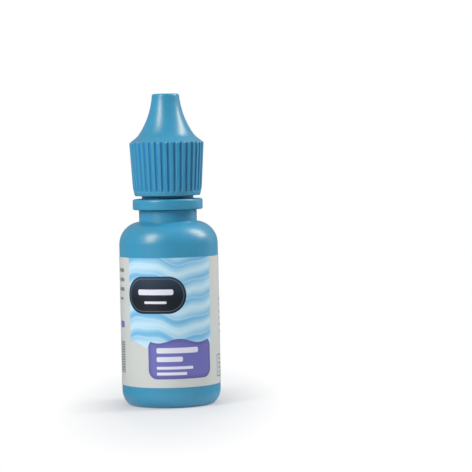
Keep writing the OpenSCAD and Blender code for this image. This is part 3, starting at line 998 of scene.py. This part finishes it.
# %% The sides and the back
GREY_INK = colour(96, 99, 106)
stripes = (v * 1.9 + (v * 3.7).call("FLOOR") * 0.925).call("FRACT")
side_marks = either(
    bar((-14.8, 28.2), (3.2, 0.9)),
    bar((-14.6, 25.9), (2.8, 0.9)),
    bar((-14.9, 23.6), (3.4, 0.9)),
    bar((-15.2, 21.3), (2.6, 0.6)),
    block((-15.0, 7.0), (3.0, 7.6)) * (stripes - 0.65).inside(0.15),
    frame_line((16.4, 4.4), (3.4, 5.2), 0.3),
    text_lines((16.6, 4.4), (1.8, 3.9), 1.1, 0.45, 23),
    text_lines((18.0, 16.7), (2.2, 9.8), 1.6, 0.6, 9),
    frame_line((29.0, 6.2), (9.0, 5.0), 0.25),
    text_lines((-27.6, 19.0), (15.0, 20.0), 1.5, 0.5, 3),
    text_lines((27.4, 21.5), (15.0, 15.0), 1.5, 0.5, 40),
    text_lines((-27.6, 5.2), (15.0, 5.0), 1.25, 0.42, 71),
)
design = print_on.mix(side_marks * GREY_STRENGTH, design, GREY_INK)
design = print_on.mix(bar((-14.9, 15.0), (2.8, 1.6)), design, PURPLE)

fibres = print_on.noise(0.25 * MM, detail=2)
print_on.set(
    Base_Color=design,
    Roughness=0.42 + 0.08 * (fibres - 0.5),
    Normal=print_on.bump(fibres, GRAIN_DEPTH * MM),
    Coat_Weight=0.12,
    Coat_Roughness=0.3,
)
print("the print has", len(print_on.tree.nodes), "nodes")

# %% [markdown]
# ## Putting the pieces in the frame
#
# Each new piece stands for the imported node of the same thing, rides on its body and gets its finish.
# The filling's shape is right as it is, so that node stays and only gets its finish.

# %% Pieces, bodies and finishes
placed = [
    (bottle_shell, "bottle_body", "bottle", "body_plastic", body_plastic),
    (tip_moulding, "dropper_tip", "bottle", "tip_plastic", tip_plastic),
    (label_sheet, "label", "bottle", "label_paper", print_on),
    (ring_moulding, "tamper_evident_ring", "ring", "ring_plastic", ring_plastic),
    (cap_moulding, "screw_cap", "cap", "cap_plastic", cap_plastic),
]
for piece, node, body, slot, finish in placed:
    finish.give(piece)
    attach(piece, body)
    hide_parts(node)
solution.give(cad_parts["eye_drop_solution"])
print("placed", [piece.name for piece, *_ in placed])

# %% [markdown]
# ## The stage
#
# The floor is a disc. Near the bottle it is a matt grey that keeps the shadow, with a pale glow that ambient
# occlusion dims where the bottle stands in the way, which is the soft shade of contact. Further out it
# fades to plain white, as a paper sweep does in a studio. Only rays that come straight from the camera, or
# that a gloss or a glass sends on, see any of this: all other light meets a plain matt floor. A gloss finds
# the white dimmer than the camera does, dark in front of the bottle and paler behind it and over it, as a
# room is, or the bottle's edges would lose their colour. Mix Shaders choose between all these.

# %% What the camera, a gloss and a glass see
WHITE = (1, 1, 1, 1)
SEEING = ("Camera", "Glossy", "Transmission")
ROOM_FRONT, ROOM_BEHIND, ROOM_ABOVE = 0.05, 0.28, 0.35


def seen(graph, in_gloss=1):
    """1 for rays of the camera and of glass, a share for those of gloss, and 0 for light on its way."""
    camera, gloss, glass = (graph.add("ShaderNodeLightPath", output=f"Is {ray} Ray") for ray in SEEING)
    return either(camera, gloss * in_gloss, glass)


def room(behind, above):
    """How bright a gloss finds the room, by a direction's or a place's share of behind and of above."""
    return ROOM_FRONT + behind.clamped(0.5, 0.5) * ROOM_BEHIND + above * ROOM_ABOVE


# %% The floor
FLOOR_R = 3.0
FADE_FROM, FADE_TO = 36 * MM, 88 * MM
FADE_SQUEEZE = 3.2
FLOOR_BOUNCE, FLOOR_SHADE, FLOOR_GLOW = 0.85, 0.25, 0.6
CONTACT_REACH, CONTACT_SHARE = 24 * MM, 0.5
PALE_SKY = colour(246, 250, 255)
deselect()
bpy.ops.mesh.primitive_circle_add(vertices=96, radius=FLOOR_R, fill_type="NGON", location=CENTRE)
floor = bpy.context.object
floor.name = "floor"

ground = Finish("floor_paper")
away = ((ground.x * FADE_SQUEEZE).call("POWER", 2) + ground.y.call("POWER", 2)).call("SQRT")
far = (away - FADE_FROM).clamped(1 / (FADE_TO - FADE_FROM), 0)
bounce, shade = (
    ground.add("ShaderNodeBsdfDiffuse", inputs={"Color": (grey, grey, grey, 1)})
    for grey in (FLOOR_BOUNCE, FLOOR_SHADE)
)
open_sky = ground.add("ShaderNodeAmbientOcclusion", inputs={"Distance": CONTACT_REACH}, output="AO")
contact = open_sky * CONTACT_SHARE + (1 - CONTACT_SHARE)
glow = ground.add("ShaderNodeEmission", inputs={"Color": PALE_SKY, "Strength": contact * FLOOR_GLOW})
whiteness = seen(ground, room(ground.y * 2, 0))
white = ground.add("ShaderNodeEmission", inputs={"Color": WHITE, "Strength": whiteness})
near = ground.add("ShaderNodeAddShader", inputs={0: shade, 1: glow})
sweep = ground.add("ShaderNodeMixShader", inputs={0: far, 1: near, 2: white})
surface = ground.add("ShaderNodeMixShader", inputs={0: seen(ground), 1: bounce, 2: sweep})
ground.feed(ground.tree.nodes["Material Output"].inputs["Surface"], surface)
ground.give(floor)
print(f"the floor fades to white from {FADE_FROM / MM:.0f} to {FADE_TO / MM:.0f} mm in front")

# %% [markdown]
# Two soft boxes light the bottle, and the highlights show where they stood: one in front to the left and one
# beside the bottle on the right, both well above it. A weak card low on the right lifts that edge of the
# bottle. The world fills the shadows with a weak even light. The camera sees it as white, and a gloss sees
# the room.

# %% Lamps
LAMP_DISTANCE = 0.7


def lamp(name, azimuth, elevation, width, height, watts):
    """An upright soft box aimed at the middle of the bottle, by its angle to the right of the front."""
    around, up = math.radians(azimuth), math.radians(elevation)
    way = Vector((math.sin(around) * math.cos(up), -math.cos(around) * math.cos(up), math.sin(up)))
    middle = Vector((0, 0, cap_top / 2))
    bpy.ops.object.light_add(type="AREA", location=middle + way * LAMP_DISTANCE)
    box = bpy.context.object
    box.name = name
    box.rotation_euler = way.to_track_quat("Z", "Y").to_euler()
    box.data.shape = "RECTANGLE"
    box.data.size, box.data.size_y = width, height
    box.data.energy = watts
    box.visible_camera = False
    print(f"{name}: {watts} W at {azimuth} degrees")


deselect()
lamp("left_box", -45, 34, 0.22, 0.46, 4.6)
lamp("right_box", 100, 41, 0.2, 0.44, 4.3)
lamp("right_card", 117, 6, 0.36, 0.4, 0.27)

# %% The world
FILL = 0.06
world = bpy.data.worlds.new("studio")
bpy.context.scene.world = world
studio = Graph(world)
_, behind, above = studio.split(studio.add("ShaderNodeTexCoord", output="Generated"))
brightness = seen(studio, room(behind, above.call("MAXIMUM", 0))).call("MAXIMUM", FILL)
background = studio.tree.nodes["Background"]
studio.feed(background.inputs["Color"], WHITE)
studio.feed(background.inputs["Strength"], brightness)
print("the world has", len(studio.tree.nodes), "nodes")

# %% [markdown]
# ## The camera
#
# A long lens half a metre away looks slightly down on the bottle. The camera was held a little askew, which
# leans the bottle's axis by just over one degree in the picture.

# %% The camera and the view
CAMERA_PLACE = Vector((17.06, -502.36, 63.50)) * MM
CAMERA_PITCH = math.radians(87.4235)
CAMERA_ROLL = math.radians(1.1357)
CAMERA_LENS = 156.05
bpy.ops.object.camera_add(location=CAMERA_PLACE, rotation=(CAMERA_PITCH, CAMERA_ROLL, 0))
camera = bpy.context.object
camera.data.lens = CAMERA_LENS
camera.data.clip_start = 10 * MM
bpy.context.scene.camera = camera
bpy.context.scene.view_settings.view_transform = "Standard"
print(f"camera {CAMERA_PLACE.length / MM:.0f} mm away, lens {CAMERA_LENS} mm")
